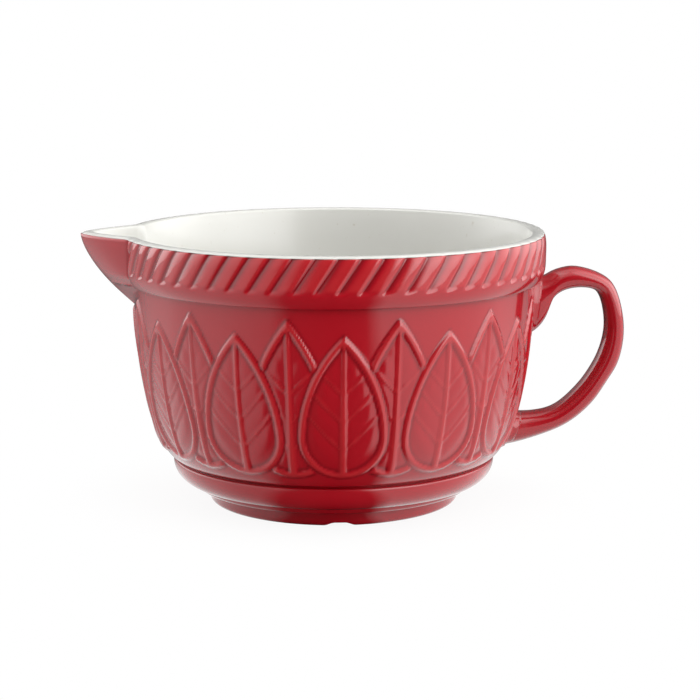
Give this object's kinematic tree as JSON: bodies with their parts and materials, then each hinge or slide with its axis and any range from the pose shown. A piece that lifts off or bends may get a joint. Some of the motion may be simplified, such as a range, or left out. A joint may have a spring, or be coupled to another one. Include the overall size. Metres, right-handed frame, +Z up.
{
  "type": "batter bowl",
  "caption": "Deep round stoneware mixing bowl with a fluted rope band at the rim, a leaf relief, an open pouring spout and a loop handle; red glaze outside, white inside.",
  "frame": {"origin": "in the plane that the foot ring stands on, in the middle of the overall length and width", "axes": "+Z up along the bowl's axis, +X from the spout towards the handle, the spout points to -X; the bowl's axis stands at x = -10.5 mm"},
  "size_m": [0.2626, 0.2042, 0.131],
  "materials": {
    "red_glaze": "gloss",
    "white_glaze": "gloss"
  },
  "bodies": {
    "root": {"bowl_body": "red_glaze", "foot_ring": "red_glaze", "rope_band": "red_glaze", "leaf_relief": "red_glaze", "pouring_spout": "red_glaze", "loop_handle": "red_glaze", "upper_slip_joint": "red_glaze", "lower_slip_joint": "red_glaze", "white_lining": "white_glaze", "spout_lining": "white_glaze"}
  },
  "joints": []
}
